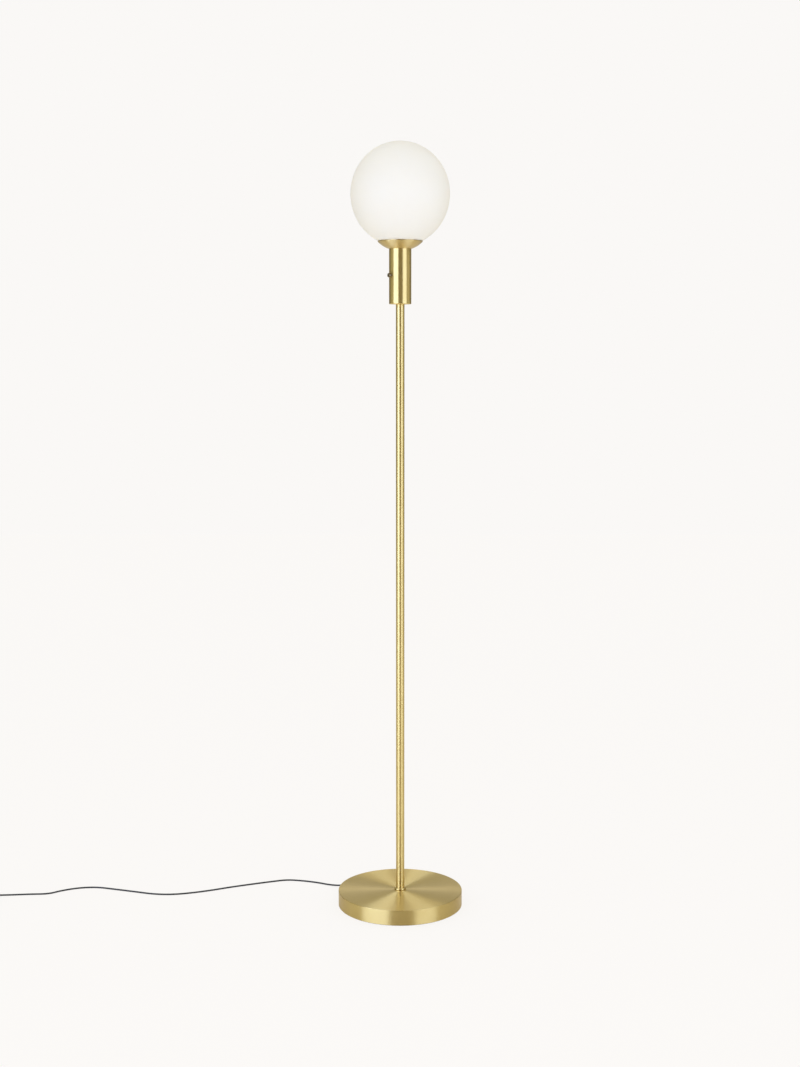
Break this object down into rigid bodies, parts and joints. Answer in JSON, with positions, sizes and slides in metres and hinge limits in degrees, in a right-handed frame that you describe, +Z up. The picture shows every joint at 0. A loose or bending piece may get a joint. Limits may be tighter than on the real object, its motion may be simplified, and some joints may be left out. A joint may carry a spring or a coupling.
{
  "type": "floor lamp",
  "caption": "Floor lamp with an opal glass globe in a shallow brass cup on a slim pole and a round weighted base, with a turn switch and a mains lead.",
  "frame": {"origin": "middle of the base's underside, on the floor", "axes": "+Z up along the pole, -Y towards the front, +X to the right seen from the front; the lead leaves at the rear left"},
  "size_m": [1.083, 0.2743, 1.5775],
  "materials": {
    "satin_brass": "satin brushed",
    "turned_brass": "machined",
    "zinc_steel": "zinc plated",
    "cast_iron": "rough, black varnish",
    "felt": "needled felt",
    "spring_steel": "rolled",
    "opal_glass": "satin opal",
    "bulb_glass": "frosted",
    "bulb_shell": "nickel plated",
    "holder_plastic": "moulded",
    "porcelain": "glazed porcelain",
    "silicone": "matt silicone",
    "black_sheath": "smooth PVC sheath",
    "black_rubber": "moulded soft PVC",
    "tie_band": "hook and loop band",
    "plug_pins": "nickel plated",
    "blue_core": "insulated core",
    "brown_core": "insulated core"
  },
  "bodies": {
    "stand": {"base_collar": "satin_brass", "base_cover": "satin_brass", "base_nipple": "zinc_steel", "base_nut": "zinc_steel", "base_pad": "felt", "base_washer": "zinc_steel", "base_weight": "cast_iron", "bulb_cap": "bulb_shell", "bulb_glass": "bulb_glass", "cord_clamp": "zinc_steel", "cord_clamp_screws": "zinc_steel", "cord_coil": "black_sheath", "cord_lead": "black_sheath", "cord_relief": "black_rubber", "cord_tail": "black_sheath", "cord_tie": "tie_band", "globe_clips": "spring_steel", "globe_cup": "satin_brass", "globe_gasket": "silicone", "head_nipple": "zinc_steel", "head_nut": "zinc_steel", "head_tube": "satin_brass", "holder_cap": "holder_plastic", "holder_contact": "turned_brass", "holder_core": "porcelain", "holder_nipple": "zinc_steel", "holder_nut": "zinc_steel", "holder_plate": "zinc_steel", "holder_ring": "holder_plastic", "holder_shell": "bulb_shell", "holder_skirt": "holder_plastic", "live_wire": "brown_core", "mains_cable": "black_sheath", "neutral_wire": "blue_core", "plug_body": "black_rubber", "plug_pins": "plug_pins", "plug_relief": "black_rubber", "pole_bushes": "turned_brass", "pole_lower": "satin_brass", "pole_middle": "satin_brass", "pole_studs": "zinc_steel", "pole_upper": "satin_brass", "switch_body": "holder_plastic", "switch_bush": "turned_brass", "switch_nut": "satin_brass", "switched_wire": "brown_core", "terminal_screws": "turned_brass"},
    "knob": {"switch_knob": "satin_brass", "switch_spindle": "turned_brass"},
    "globe": {"globe_glass": "opal_glass"}
  },
  "joints": [
    {"name": "knob_turn", "type": "hinge", "parent": "stand", "child": "knob", "pos_m": [-0.02205, -0.01378, 1.3118], "axis": [-0.848, -0.5299, 0], "continuous": true},
    {"name": "globe_lift", "type": "slide", "parent": "stand", "child": "globe", "axis": [0, 0, 1], "range_m": [0, 0.1]}
  ]
}
